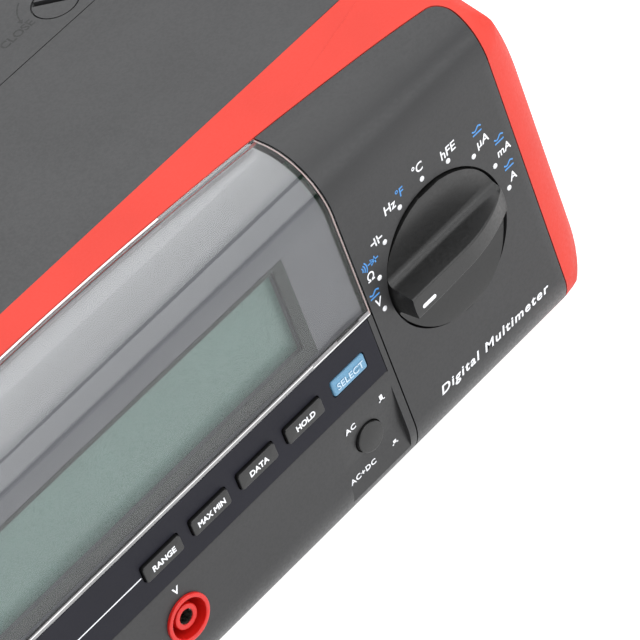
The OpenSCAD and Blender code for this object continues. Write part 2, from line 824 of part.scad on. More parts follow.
module usb_port() {
  color("silver") {
    difference() {
      block(usb_x - 6, rear_y - 14, port_z - 5.4, usb_x + 6, rear_y + 0.4, port_z + 5.4);
      block(usb_x - 4.3, rear_y - 9, port_z - 3.9, usb_x + 4.3, rear_y + 1, port_z + 3.9);
    }
    block(usb_x - 2.8, rear_y - 9, port_z - 1.6, usb_x + 2.8, rear_y - 1, port_z + 1.6);
  }
}

module mains_fuse_holder() {
  color("black") difference() {
    union() {
      rod_y(fuse_x, inlet_z, 6.9, rear_y - 30, rear_y);
      rod_y(fuse_x, inlet_z, 9, rear_y - 0.4, rear_y + 1.6);
    }
    rod_y(fuse_x, inlet_z, 5.4 + fit, rear_y - 28, rear_y + 2);
  }
}

module mains_fuse_cap() {
  color("black") difference() {
    union() {
      rod_y(fuse_x, inlet_z, 5.4, rear_y - 20, rear_y + 1.9);
      rod_y(fuse_x, inlet_z, 6.6, rear_y + 1.9, rear_y + 4);
    }
    block(fuse_x - 4, rear_y + 3, inlet_z - 0.6, fuse_x + 4, rear_y + 5, inlet_z + 0.6);
  }
}

// ---------- electronics ----------

module power_board() {
  color("seagreen") difference() {
    block(-124, 14, base_z, -16, 90, base_z + board_t);
    block(-104, 34, base_z - 1, -58, 72, base_z + 3);
  }
}

module transformer_core() {
  color("silver") difference() {
    block(-104, 37, base_z + 2, -58, 67, base_z + 38);
    for (s = [-11.5, 11.5])
      block(coil_x + s - 4.5, 36, base_z + 9, coil_x + s + 4.5, 68, base_z + 31);
  }
}

module transformer_coil() {
  color("goldenrod") difference() {
    block(coil_x - 15.8, 31, base_z + 9.2, coil_x + 15.8, 73, base_z + 30.8);
    block(coil_x - 7.1, 36.9, 0, coil_x + 7.1, 67.1, 100);
    for (s = [-20, 20]) block(coil_x + s - 4.3, 36.9, 0, coil_x + s + 4.3, 67.1, 100);
  }
}

module filter_capacitors() {
  color("navy") for (y = [26, 44]) translate([-32, y + 2, base_z + board_t]) {
    cylinder(r = 6.3, h = 25);
    cylinder(r = 6.5, h = 22);
  }
}

module measuring_board() {
  color("seagreen") block(4, -40, base_z, 122, 78, base_z + board_t);
}

module input_fuses() {
  color("white") for (y = [-26, -12]) rod_x(y, base_z + 9, 3.1, 20, 52);
}

module fuse_clips() {
  color("silver") for (y = [-26, -12], x = [21, 45]) difference() {
    block(x, y - 4, base_z + board_t, x + 6, y + 4, base_z + 11);
    rod_x(y, base_z + 9, 3.1, x - 1, x + 7);
    block(x - 1, y - 3.1, base_z + 9, x + 7, y + 3.1, base_z + 12);
  }
}

module current_shunt() {
  color("peru") {
    for (x = [62, 82]) translate([x, -20, base_z + board_t]) cylinder(r = 0.9, h = 6);
    rod_x(-20, base_z + board_t + 6, 0.9, 61.1, 82.9);
  }
}

module buzzer() {
  color("black") translate([98, 20, base_z + board_t]) difference() {
    cylinder(r = 6, h = 7);
    translate([0, 0, 4]) cylinder(r = 1, h = 4);
  }
}

module ribbon_cable() {
  color("silver") {
    block(60, board_y + board_t, 27.4, 96, -36, 28.2);
    block(60, -36.8, base_z + board_t, 96, -36, 27.4);
  }
}

module circuit_chips() {
  color("black") {
    for (x = [30, 62], y = [10, 40])
      block(x, y, base_z + board_t, x + 12, y + 12, base_z + board_t + 2.4);
    block(-60, board_y + board_t, 60, -40, board_y + board_t + 2.6, 80);
    block(-16, board_y + board_t, 62, -2, board_y + board_t + 2.2, 76);
  }
}

// ---------- the assembly ----------

bottom_case();
top_cover();
rear_panel();
front_frame();
knob_fascia();
meter_fascia();
display_window();
button_strip();
selector_knob();
switch_rotor();
wiper_contacts();
detent_spring();
range_button();
max_min_button();
data_button();
hold_button();
select_button();
ac_dc_button();
power_button();
light_button();
latching_switches();
tact_switches();
jack_amps();
jack_milliamps();
jack_common();
jack_volts();
jack_sleeves();
lcd_glass();
lcd_frame();
lcd_backlight();
lcd_connectors();
main_board();
battery_lid();
coin_lock_left();
coin_lock_right();
battery_tray();
battery_contacts();
carry_handle();
tilt_leg_left();
tilt_leg_right();
rubber_feet();
case_screws();
mains_inlet();
inlet_blades();
serial_port();
usb_port();
mains_fuse_holder();
mains_fuse_cap();
power_board();
transformer_core();
transformer_coil();
filter_capacitors();
measuring_board();
input_fuses();
fuse_clips();
current_shunt();
buzzer();
ribbon_cable();
circuit_chips();
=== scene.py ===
"""Looks of the bench multimeter: materials, fine meshes, lettering, light and camera round the CAD model."""
import math

import bmesh
import bpy
import numpy as np
from mathutils import Matrix, Vector


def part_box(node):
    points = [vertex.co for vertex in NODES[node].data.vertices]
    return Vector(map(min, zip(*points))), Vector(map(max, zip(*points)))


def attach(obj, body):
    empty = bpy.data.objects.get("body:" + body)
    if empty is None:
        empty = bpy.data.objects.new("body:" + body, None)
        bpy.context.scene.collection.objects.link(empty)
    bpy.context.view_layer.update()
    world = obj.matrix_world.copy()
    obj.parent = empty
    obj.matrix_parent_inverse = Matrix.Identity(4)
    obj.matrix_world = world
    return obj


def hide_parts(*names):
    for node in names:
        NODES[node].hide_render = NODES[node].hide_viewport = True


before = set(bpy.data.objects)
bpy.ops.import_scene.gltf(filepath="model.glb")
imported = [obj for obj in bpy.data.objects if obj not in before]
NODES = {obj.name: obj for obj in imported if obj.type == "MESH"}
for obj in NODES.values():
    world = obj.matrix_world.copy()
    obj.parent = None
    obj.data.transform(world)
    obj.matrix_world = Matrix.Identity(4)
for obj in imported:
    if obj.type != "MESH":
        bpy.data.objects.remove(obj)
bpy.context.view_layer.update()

MM = 0.001

# ---------- places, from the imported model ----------

strip_low, strip_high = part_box("button_strip")
frame_low, frame_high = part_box("front_frame")
window_low, window_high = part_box("display_window")
knob_low, knob_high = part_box("selector_knob")

FRONT = strip_low.y                       # plane of the front face
TOP = frame_high.z                        # top of the front end
BOTTOM = frame_low.z
KNOB_X = (knob_low.x + knob_high.x) / 2
KNOB_Z = (knob_low.z + knob_high.z) / 2
KNOB_R = (knob_high.x - knob_low.x) / 2
KNOB_TOP = knob_low.y                     # front of the selector's grip
EDGE_R = 16 * MM                          # radius of the long front edges
ACROSS, UP = Vector((1, 0, 0)), Vector((0, 0, 1))
FRONTWARD, BACKWARD = Vector((0, -1, 0)), Vector((0, 1, 0))


# ---------- materials ----------

def nodes_of(name):
    """A new material, its node tree and its Principled shader."""
    material = bpy.data.materials.new(name)
    material.use_nodes = True
    tree = material.node_tree
    shader = next(n for n in tree.nodes if n.type == "BSDF_PRINCIPLED")
    return material, tree, shader


def noise(tree, scale, detail=2.0, rough=0.5, stretch=(1, 1, 1)):
    """A noise texture in the object's own metres."""
    where = tree.nodes.new("ShaderNodeTexCoord")
    mapping = tree.nodes.new("ShaderNodeMapping")
    mapping.inputs["Scale"].default_value = stretch
    texture = tree.nodes.new("ShaderNodeTexNoise")
    texture.inputs["Scale"].default_value = scale
    texture.inputs["Detail"].default_value = detail
    texture.inputs["Roughness"].default_value = rough
    tree.links.new(where.outputs["Object"], mapping.inputs["Vector"])
    tree.links.new(mapping.outputs["Vector"], texture.inputs["Vector"])
    return texture


def ramp(tree, source, low, high, start=0.35, end=0.65):
    """Maps a texture's value to a range of numbers."""
    node = tree.nodes.new("ShaderNodeMapRange")
    node.inputs["From Min"].default_value = start
    node.inputs["From Max"].default_value = end
    node.inputs["To Min"].default_value = low
    node.inputs["To Max"].default_value = high
    tree.links.new(source, node.inputs["Value"])
    return node.outputs["Result"]


def tint(tree, source, dark, light):
    """Blends two colours by a texture."""
    node = tree.nodes.new("ShaderNodeMix")
    node.data_type = "RGBA"
    node.inputs["A"].default_value = (*dark, 1)
    node.inputs["B"].default_value = (*light, 1)
    tree.links.new(source, node.inputs["Factor"])
    return node.outputs["Result"]


def shade(colour, amount):
    """A colour made darker or lighter."""
    return tuple(min(1.0, c * amount) for c in colour)


def plastic(name, colour, rough=0.4, grain=1400, bump=0.02, vary=0.07, rough_vary=0.06, ior=1.5, shine=0.5):
    """Moulded plastic: a faint cloudiness in the colour, a fine spark-eroded grain and uneven gloss."""
    material, tree, shader = nodes_of(name)
    cloud = noise(tree, 45, 4)
    fine = noise(tree, grain, 2)
    patches = ramp(tree, cloud.outputs["Fac"], 0, 1)
    clouded = tint(tree, patches, shade(colour, 1 - vary), shade(colour, 1 + vary))
    tree.links.new(clouded, shader.inputs["Base Color"])
    gloss = ramp(tree, fine.outputs["Fac"], rough - rough_vary, rough + rough_vary)
    tree.links.new(gloss, shader.inputs["Roughness"])
    if bump:
        relief = tree.nodes.new("ShaderNodeBump")
        relief.inputs["Strength"].default_value = 1.0
        relief.inputs["Distance"].default_value = bump * MM
        tree.links.new(fine.outputs["Fac"], relief.inputs["Height"])
        tree.links.new(relief.outputs["Normal"], shader.inputs["Normal"])
    shader.inputs["IOR"].default_value = ior
    shader.inputs["Specular IOR Level"].default_value = shine
    return material


def metal(name, colour, rough=0.3, brushed=(1, 1, 1)):
    """Plated or bare metal with fine scratches along one direction."""
    material, tree, shader = nodes_of(name)
    streak = noise(tree, 900, 3, stretch=brushed)
    tree.links.new(tint(tree, ramp(tree, streak.outputs["Fac"], 0, 1), shade(colour, 0.86), colour),
                   shader.inputs["Base Color"])
    tree.links.new(ramp(tree, streak.outputs["Fac"], rough - 0.08, rough + 0.1), shader.inputs["Roughness"])
    shader.inputs["Metallic"].default_value = 1.0
    return material


def ink(name, colour):
    """Pad-printed ink: flat, with slightly uneven cover."""
    material, tree, shader = nodes_of(name)
    cover = noise(tree, 2600, 2)
    tree.links.new(tint(tree, ramp(tree, cover.outputs["Fac"], 0, 1), shade(colour, 0.9), colour),
                   shader.inputs["Base Color"])
    shader.inputs["Roughness"].default_value = 0.45
    return material


def clear_plastic(name):
    """Clear acrylic. Lamps reach what is behind it."""
    material, tree, shader = nodes_of(name)
    haze = noise(tree, 60, 3)
    tree.links.new(tint(tree, ramp(tree, haze.outputs["Fac"], 0, 1), (0.92, 0.93, 0.935), (0.94, 0.95, 0.955)),
                   shader.inputs["Base Color"])
    shader.inputs["Roughness"].default_value = 0.0
    shader.inputs["Transmission Weight"].default_value = 1.0
    shader.inputs["IOR"].default_value = 1.36
    path = tree.nodes.new("ShaderNodeLightPath")
    through = tree.nodes.new("ShaderNodeBsdfTransparent")
    through.inputs["Color"].default_value = (0.9, 0.91, 0.92, 1)
    mix = tree.nodes.new("ShaderNodeMixShader")
    output = next(n for n in tree.nodes if n.type == "OUTPUT_MATERIAL")
    tree.links.new(path.outputs["Is Shadow Ray"], mix.inputs["Fac"])
    tree.links.new(shader.outputs["BSDF"], mix.inputs[1])
    tree.links.new(through.outputs["BSDF"], mix.inputs[2])
    tree.links.new(mix.outputs["Shader"], output.inputs["Surface"])
    return material


MATERIALS = {
    "case_grey": plastic("case_grey", (0.034, 0.034, 0.035), 0.46, bump=0.014, shine=0.46),
    "surround_red": plastic("surround_red", (0.62, 0.055, 0.040), 0.60, bump=0.008, vary=0.03, shine=0.16),
    "panel_dark": plastic("panel_dark", (0.018, 0.018, 0.019), 0.42, bump=0.016),
    "strip_blue_grey": plastic("strip_blue_grey", (0.012, 0.012, 0.018), 0.40, bump=0.006, shine=0.14),
    "control_dark": plastic("control_dark", (0.008, 0.008, 0.008), 0.40, bump=0.012, shine=0.55),
    "select_blue": plastic("select_blue", (0.11, 0.27, 0.42), 0.26, bump=0.004, vary=0.03),
    "window_clear": clear_plastic("window_clear"),
    "lcd_glass": plastic("lcd_glass", (0.086, 0.136, 0.120), 0.30, grain=3000, bump=0.002, vary=0.03),
    "light_plate": plastic("light_plate", (0.75, 0.76, 0.74), 0.5),
    "jack_red": plastic("jack_red", (0.62, 0.012, 0.008), 0.34, bump=0.006),
    "moulding_black": plastic("moulding_black", (0.016, 0.016, 0.017), 0.42),
    "rotor_ivory": plastic("rotor_ivory", (0.62, 0.57, 0.44), 0.45),
    "contact_brass": metal("contact_brass", (0.80, 0.56, 0.25), 0.28),
    "nickel": metal("nickel", (0.66, 0.64, 0.60), 0.25),
    "screw_steel": metal("screw_steel", (0.50, 0.50, 0.52), 0.32),
    "core_steel": metal("core_steel", (0.38, 0.38, 0.40), 0.4, brushed=(1, 1, 9)),
    "coil_tape": plastic("coil_tape", (0.75, 0.52, 0.12), 0.3, bump=0.01),
    "capacitor_sleeve": plastic("capacitor_sleeve", (0.02, 0.03, 0.10), 0.25),
    "fuse_body": plastic("fuse_body", (0.72, 0.70, 0.64), 0.3),
    "board_green": plastic("board_green", (0.015, 0.11, 0.045), 0.32, bump=0.01),
    "ribbon_grey": plastic("ribbon_grey", (0.36, 0.37, 0.39), 0.45),
    "rubber_black": plastic("rubber_black", (0.018, 0.018, 0.018), 0.75, grain=700, bump=0.03),
}


def bezel():
    """The frame behind the window: mid grey in front, with painted light: a lighter band where it turns back
    under the curved top.
    """
    material, tree, shader = nodes_of("bezel_grey")
    where = tree.nodes.new("ShaderNodeTexCoord")
    split = tree.nodes.new("ShaderNodeSeparateXYZ")
    tree.links.new(where.outputs["Object"], split.inputs["Vector"])
    cloud = noise(tree, 30, 3)
    # painted light: across this height band the colour goes from mid grey to a lighter grey
    painted_light_from, painted_light_to = 99.0 * MM, 100.4 * MM
    turn = ramp(tree, split.outputs["Z"], 0, 1, painted_light_from, painted_light_to)
    tree.links.new(tint(tree, turn, (0.072, 0.073, 0.080), (0.168, 0.168, 0.172)), shader.inputs["Base Color"])
    tree.links.new(ramp(tree, cloud.outputs["Fac"], 0.36, 0.46), shader.inputs["Roughness"])
    return material


BEZEL = bezel()
# painted shade: the dark ring round the display
PAINTED_SHADE_RING = plastic("painted_shade_grey", (0.018, 0.021, 0.020), 0.5, bump=0.0, vary=0.03, shine=0.3)
# painted highlights: colours of the bright lines along the clear window's edges
PAINTED_GREY_HIGHLIGHT = plastic("grey_painted_highlight", (0.24, 0.235, 0.24), 0.3, bump=0.0)
PAINTED_WHITE_HIGHLIGHT = plastic("white_painted_highlight", (0.90, 0.89, 0.89), 0.25, bump=0.0)
PAINTED_PINK_HIGHLIGHT = plastic("pink_painted_highlight", (0.36, 0.28, 0.265), 0.3, bump=0.0)
# dark grey for joints, a seam and a slot, and painted shade for the engraved signs on the cover
ENGRAVED = plastic("engraved_grey", (0.020, 0.020, 0.020), 0.6, bump=0.0)
WHITE_INK = ink("white_ink", (0.86, 0.87, 0.90))
PALE_INK = ink("pale_ink", (0.52, 0.66, 0.78))
BLUE_INK = ink("blue_ink", (0.06, 0.26, 0.62))


# ---------- carried-over CAD nodes ----------

def finish_edges(piece, width, segments=2, angle=28):
    """Rounds the sharp edges a little and shades the flat faces flat."""
    weld = piece.modifiers.new("weld", "WELD")
    weld.merge_threshold = 0.002 * MM
    flat = piece.modifiers.new("flat", "DECIMATE")
    flat.decimate_type = "DISSOLVE"
    flat.angle_limit = math.radians(0.4)
    round_off = piece.modifiers.new("round", "BEVEL")
    round_off.width = width
    round_off.segments = segments
    round_off.limit_method = "ANGLE"
    round_off.angle_limit = math.radians(angle)
    normals = piece.modifiers.new("normals", "WEIGHTED_NORMAL")
    normals.weight = 60


SOFT_EDGE = {
    "button_strip": 0.15, "top_cover": 0.4,
    "bottom_case": 0.4, "battery_lid": 0.25, "coin_lock_left": 0.25, "coin_lock_right": 0.25, "rear_panel": 0.4,
    "carry_handle": 1.2, "tilt_leg_left": 0.5, "tilt_leg_right": 0.5, "rubber_feet": 0.6, "mains_inlet": 0.5,
    "serial_port": 0.2, "usb_port": 0.2, "mains_fuse_holder": 0.4, "mains_fuse_cap": 0.4, "power_button": 0.5,
    "light_button": 0.5, "battery_tray": 0.4,
}


def material_of(name):
    """The record's slot of a CAD node, from the material that it was packed with."""
    return NODES[name].data.materials[0].name.split(".")[0]


slots = {name: material_of(name) for name in NODES}
OWN_MATERIAL = {"lcd_frame": BEZEL}
for name, piece in NODES.items():
    for i in range(len(piece.data.materials)):
        slot_name = piece.data.materials[i].name.split(".")[0]
        piece.data.materials[i] = OWN_MATERIAL.get(name, MATERIALS[slot_name])
    if name in SOFT_EDGE:
        finish_edges(piece, SOFT_EDGE[name] * MM)


# ---------- helpers for new pieces ----------

def place(piece, body, slot, *stands_for):
    """Sets what a new piece moves with and hides the CAD nodes that it stands for. slot is not used."""
    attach(piece, body)
    if stands_for:
        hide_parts(*stands_for)
    return piece


def piece_from(name, mesh, material, smooth=True):
    """Puts a mesh in the scene as a piece of one material."""
    for polygon in mesh.polygons:
        polygon.use_smooth = smooth
    piece = bpy.data.objects.new(name, mesh)
    bpy.context.scene.collection.objects.link(piece)
    mesh.materials.clear()
    mesh.materials.append(material)
    return piece


def mesh_from(name, points, faces):
    """A mesh whose faces all look outward."""
    mesh = bpy.data.meshes.new(name)
    mesh.from_pydata([tuple(p) for p in points], [], faces)
    mesh.validate()
    tool = bmesh.new()
    tool.from_mesh(mesh)
    bmesh.ops.recalc_face_normals(tool, faces=tool.faces)
    tool.to_mesh(mesh)
    tool.free()
    return mesh


def arc(cx, cy, r, start, end, steps):
    """Points along an arc, angles in degrees."""
    return [(cx + r * math.cos(math.radians(start + (end - start) * i / steps)),
             cy + r * math.sin(math.radians(start + (end - start) * i / steps))) for i in range(steps + 1)]


def lathe(name, profile, x, z, material, steps=72):
    """Turns a profile of (radius, y) about an axis along Y. The profile is closed at the axis or on itself."""
    points, faces = [], []
    closed = profile[0] == profile[-1]
    rows = profile[:-1] if closed else profile
    for r, y in rows:
        for k in range(steps):
            a = 2 * math.pi * k / steps
            points.append((x + r * math.cos(a), y, z + r * math.sin(a)))
    n = len(rows)
    for i in range(n if closed else n - 1):
        for k in range(steps):
            a, b = i * steps, ((i + 1) % n) * steps
            faces.append((a + k, a + (k + 1) % steps, b + (k + 1) % steps, b + k))
    if not closed:
        faces.append(tuple(range(steps)))
        faces.append(tuple((n - 1) * steps + k for k in range(steps)))
    return piece_from(name, mesh_from(name, points, faces), material)


def rounded_rect(w, h, r, steps=6):
    """Outline of a rectangle with round corners about the origin."""
    corners = ((w - r, h - r, 0), (r - w, h - r, 90), (r - w, r - h, 180), (w - r, r - h, 270))
    return [p for cx, cy, a in corners for p in arc(cx, cy, r, a, a + 90, steps)]


# ---------- selector ----------

def knob_profile():
    """The selector's section, as (z, y) from the top rim to the bottom rim, z from the axis."""
    rim_y = FRONT - 0.8 * MM
    dip_y = FRONT + 0.55 * MM
    crest = KNOB_TOP
    half = [(KNOB_R - 0.35 * MM, rim_y)]
    reach = KNOB_R - 0.35 * MM
    foot = 6.3 * MM
    for i in range(1, 15):
        t = i / 15
        z = reach + (foot - reach) * t
        half.append((z, rim_y + (dip_y - rim_y) * (0.5 - 0.5 * math.cos(math.pi * min(1, t * 1.05)))))
    fillet = 2.4 * MM
    half += [(foot - fillet * math.sin(math.radians(a)), dip_y - fillet * (1 - math.cos(math.radians(a))))
             for a in range(0, 81, 10)]
    wall_z, wall_y = half[-1]
    edge_z = 3.15 * MM
    crest_r = 0.55 * MM
    for i in range(1, 8):
        t = i / 8
        half.append((wall_z + (edge_z - wall_z) * t, wall_y + (crest + crest_r - wall_y) * t))
    half += [(edge_z - crest_r + crest_r * math.cos(math.radians(a)),
              crest + crest_r - crest_r * math.sin(math.radians(a))) for a in range(0, 91, 15)]
    half += [(1.6 * MM, crest), (0.6 * MM, crest)]
    return half + [(-z, y) for z, y in reversed(half)]


def knob_mesh():
    """A sheet over the section, as wide as the disc at each height. The grip's crest falls to one end."""
    steps = 56
    grip_flat = -1.4 * MM
    grip_r = 38 * MM
    base_y = FRONT + 0.6 * MM
    profile = knob_profile()
    points, faces = [], []
    for z, y in profile:
        half_width = math.sqrt(max(KNOB_R**2 - z * z, (0.05 * KNOB_R)**2))
        for k in range(steps + 1):
            x = half_width * math.sin(math.pi / 2 * (2 * k / steps - 1))
            fall = 0.0
            if x > grip_flat:
                fall = grip_r - math.sqrt(grip_r**2 - (x - grip_flat)**2)
            lift = max(0.0, (base_y - y) / (base_y - KNOB_TOP))
            proud = y + fall * max(0.0, lift - 0.2) / 0.8
            if lift > 0.9 and z < 0:
                taper = min(1.0, max(0.0, (x + 17 * MM) / (24 * MM)))
                z_at = z * (1 - 0.24 * taper * taper * (3 - 2 * taper))
            else:
                z_at = z
            points.append((KNOB_X + x, proud, KNOB_Z + z_at))
    width = steps + 1
    rows = len(profile)
    for i in range(rows - 1):
        for k in range(steps):
            a = i * width + k
            faces.append((a, a + 1, a + width + 1, a + width))
    rim = [k for k in range(width)]
    rim += [i * width + steps for i in range(1, rows)]
    rim += [(rows - 1) * width + k for k in range(steps - 1, -1, -1)]
    rim += [i * width for i in range(rows - 2, 0, -1)]
    back = len(points)
    for index in rim:
        x, _, z = points[index]
        points.append((x, FRONT + 4 * MM, z))
    count = len(rim)
    for i in range(count):
        j = (i + 1) % count
        faces.append((rim[i], rim[j], back + j, back + i))
    faces.append(tuple(back + i for i in range(count)))
    return mesh_from("selector", points, faces)


selector = piece_from("selector", knob_mesh(), MATERIALS["control_dark"])
rim_round = selector.modifiers.new("round", "BEVEL")
rim_round.width = 0.35 * MM
rim_round.segments = 3
rim_round.limit_method = "ANGLE"
rim_round.angle_limit = math.radians(38)
selector_normals = selector.modifiers.new("normals", "WEIGHTED_NORMAL")
selector_normals.weight = 55
place(selector, "selector", "control_dark", "selector_knob")


def bar(name, x0, x1, z, half, y, thick, material, body, slot):
    """A small printed or moulded bar with round ends."""
    outline = [(x1 - half + half * math.cos(a), z + half * math.sin(a))
               for a in np.linspace(-math.pi / 2, math.pi / 2, 9)]
    outline += [(x0 + half + half * math.cos(a), z + half * math.sin(a))
                for a in np.linspace(math.pi / 2, 1.5 * math.pi, 9)]
    n = len(outline)
    points = [(x, y, zz) for x, zz in outline] + [(x, y + thick, zz) for x, zz in outline]
    faces = [tuple(range(n)), tuple(range(n, 2 * n))]
    faces += [(i, (i + 1) % n, n + (i + 1) % n, n + i) for i in range(n)]
    return place(piece_from(name, mesh_from(name, points, faces), material, smooth=False), body, slot)


bar("selector_mark", KNOB_X - 17.6 * MM, KNOB_X - 12.9 * MM, KNOB_Z - 0.9 * MM, 0.55 * MM,
    KNOB_TOP - 0.06 * MM, 0.2 * MM, WHITE_INK, "selector", "control_dark")


# ---------- push buttons ----------

CAP_HALF_H = 2.35 * MM
CAP_CORNER = 0.75 * MM
CAP_SIDE = 2.2 * MM                       # how far a cap's sides run back from its face


def cap(name, node, body, slot, round_edge, dome):
    """A push-button cap with rounded edges and a slightly crowned face."""
    low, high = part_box(node)
    cx, cz = (low.x + high.x) / 2, (low.z + high.z) / 2
    half_w = (high.x - low.x) / 2
    half_h = CAP_HALF_H
    rings = [(0.0, CAP_SIDE), (0.0, round_edge)]
    rings += [(round_edge * (1 - math.cos(math.radians(a))), round_edge * (1 - math.sin(math.radians(a))))
              for a in range(15, 91, 15)]
    rings += [(round_edge + half_h * t, -dome * math.sin(math.pi / 2 * t)) for t in (0.25, 0.5, 0.7)]
    points, faces = [], []
    for inset, depth in rings:
        radius = max(CAP_CORNER - inset, 0.12 * MM)
        ring = rounded_rect(half_w - inset, half_h - inset, radius)
        points += [(cx + x, low.y + dome + depth, cz + z) for x, z in ring]
    n = len(points) // len(rings)
    for i in range(len(rings) - 1):
        for k in range(n):
            a, b = i * n, (i + 1) * n
            faces.append((a + k, a + (k + 1) % n, b + (k + 1) % n, b + k))
    faces.append(tuple(range(n)))
    faces.append(tuple((len(rings) - 1) * n + k for k in range(n)))
    piece = piece_from(name, mesh_from(name, points, faces), MATERIALS[slot])
    return place(piece, body, slot, node)


KEYS = ("range", "max_min", "data", "hold")
for key in KEYS:
    cap(key + "_cap", key + "_button", key + "_key", "control_dark", 0.35 * MM, 0.12 * MM)
cap("select_cap", "select_button", "select_key", "select_blue", 0.65 * MM, 0.25 * MM)


def round_cap():
    """The round mode button, slightly domed."""
    low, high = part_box("ac_dc_button")
    x, z = (low.x + high.x) / 2, (low.z + high.z) / 2
    r = (high.x - low.x) / 2
    edge = 0.6 * MM
    profile = [(r - 0.1 * MM, high.y - CAP_SIDE), (r, low.y + 4 * MM), (r, low.y + edge)]
    profile += [(r - edge + edge * math.cos(math.radians(a)),
                 low.y + edge - (edge - 0.25 * MM) * math.sin(math.radians(a))) for a in range(15, 91, 15)]
    profile += [((r - edge) * t, low.y + 0.25 * MM * t * t) for t in (0.8, 0.6, 0.4, 0.2, 0.02)]
    piece = lathe("mode_cap", profile, x, z, MATERIALS["control_dark"])
    return place(piece, "ac_dc_key", "control_dark", "ac_dc_button")


round_cap()


# ---------- test sockets ----------

def socket(name, node, material, slot):
    """A shrouded test socket: rounded outer rim, deep ring-shaped groove and an inner tube."""
    low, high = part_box(node)
    x, z = (low.x + high.x) / 2, (low.z + high.z) / 2
    lip = low.y
    outer, groove, tube, bore = 6.5 * MM, 5.3 * MM, 3.45 * MM, 2.06 * MM
    edge = 0.35 * MM
    floor = FRONT + 20 * MM
    tube_lip = FRONT + 0.4 * MM
    profile = [(7.6 * MM, FRONT + 3.1 * MM), (outer, FRONT + 3 * MM), (outer, lip + edge)]
    profile += [(outer - edge + edge * math.cos(math.radians(a)), lip + edge - edge * math.sin(math.radians(a)))
                for a in (30, 60, 90)]
    profile += [(groove + edge - edge * math.sin(math.radians(a)),
                 lip + edge - edge * math.cos(math.radians(a))) for a in (0, 30, 60, 90)]
    profile += [(groove, floor), (tube, floor), (tube, tube_lip + 0.25 * MM),
                (tube - 0.12 * MM, tube_lip + 0.07 * MM), (tube - 0.3 * MM, tube_lip),
                (bore + 0.25 * MM, tube_lip), (bore + 0.06 * MM, tube_lip + 0.08 * MM),
                (bore, tube_lip + 0.2 * MM), (bore, tube_lip + 0.36 * MM), (3 * MM, tube_lip + 0.37 * MM),
                (3 * MM, high.y), (outer, high.y), (outer, FRONT + 6 * MM), (7.6 * MM, FRONT + 6 * MM),
                (7.6 * MM, FRONT + 3.1 * MM)]
    piece = lathe(name, profile, x, z, material, 96)
    piece.modifiers.new("normals", "WEIGHTED_NORMAL").weight = 55
    return place(piece, "case", slot, node)


for jack in ("volts", "common", "milliamps", "amps"):
    dark = jack == "common"
    jack_slot = "moulding_black" if dark else "jack_red"
    socket("socket_" + jack, "jack_" + jack, MATERIALS[jack_slot], slots["jack_" + jack])


# ---------- smooth corners of the front end ----------

SIDE_X, SIDE_R = 155 * MM, 19.2 * MM      # plane of the sides and radius of their front edges
CORNER_X = 154.2 * MM                     # outermost reach of the corners and of the bulge of the sides
BARREL_R, BARREL_Z = 172.4 * MM, 45 * MM  # that bulge: radius and middle
BARREL_FLARE = 0.12                       # how far the bulge widens per depth
FLARE_FROM = 8 * MM                       # depth where the bulge and the corners have the sizes named here
FADE = 8 * MM                             # width over which the blend of an edge sets in
SIDE_CREASE = 1.2 * MM
MOVE_SOFT = 0.25                          # softness of the creases in the shape
SHADE_SOFT = 2.0                          # softness of the creases in the shading
CREASE = 2.5 * MM                         # width of a blended crease at softness 1
SKIN_NEAR = 0.15 * MM                     # a point nearer than this lies on the skin
LONGEST_EDGE = 2.0 * MM
SKIN_FROM = 100 * MM                      # the ends of the case beyond this are smoothed
CORNERS = ((1, 24.5 * MM, 0.2), (-1, 30 * MM, 0.25))    # top and bottom: way, radius, flare per depth
MOST_SPLITS = 9                           # times that the long edges are halved
STEPS_TO_SKIN = 4                         # steps that bring a point to the blended shape


def smooth_max(a, b, k):
    """The greater of a and b, rounded over where they are nearer than k."""
    near = np.maximum(k - np.abs(a - b), 0) / np.maximum(k, 1e-9)
    return np.maximum(a, b) + near * near * k / 4


def rolled(u, v, r):
    """Distance outside a rounded edge, with u and v measured outward from its centre line."""
    return np.where((u > 0) & (v > 0), np.hypot(u, v), np.maximum(u, v)) - r


def front_end(points, soft):
    """Distance outside the rounded front end. soft 0 is the CAD shape; more blends its creases."""
    x, y, z = np.abs(points[:, 0]), points[:, 1], points[:, 2]
    ahead, deep = FRONT - y, y - FRONT - FLARE_FROM
    barrel = np.hypot(x - CORNER_X + BARREL_R, z - BARREL_Z) - BARREL_R - BARREL_FLARE * deep
    shape = smooth_max(rolled(SIDE_R + ahead, x - SIDE_X + SIDE_R, SIDE_R), barrel, soft * SIDE_CREASE)
    reach_x = np.clip((x - SIDE_X + SIDE_R) / FADE, 0, 1)
    for edge in (z - TOP, BOTTOM - z):
        reach = np.clip((edge + EDGE_R) / FADE, 0, 1) * reach_x
        shape = smooth_max(shape, rolled(EDGE_R + ahead, edge + EDGE_R, EDGE_R), soft * CREASE * reach)
    for way, r, flare in CORNERS:
        edge = (z - TOP) if way > 0 else (BOTTOM - z)
        dx, dz = x - CORNER_X + r, edge + r
        cone = (np.hypot(np.maximum(dx, 0), np.maximum(dz, 0)) - r - flare * deep) / math.hypot(1, flare)
        cone = cone - 0.5 * (np.maximum(-dx, 0) + np.maximum(-dz, 0))
        shape = smooth_max(shape, cone, soft * CREASE)
    return shape


def slope(points, soft):
    """The outward direction of the front end at each point."""
    step = 0.05 * MM
    rises = [front_end(points + step * axis, soft) - front_end(points - step * axis, soft) for axis in np.eye(3)]
    return np.stack([rise / (2 * step) for rise in rises], axis=1)


def on_skin(points):
    """Which points lie on the outside of the front end, near its two ends."""
    return ((np.abs(front_end(points, 0.0)) < SKIN_NEAR) & (np.abs(points[:, 0]) > SKIN_FROM)
            & (points[:, 1] < frame_high.y + 0.1 * MM))


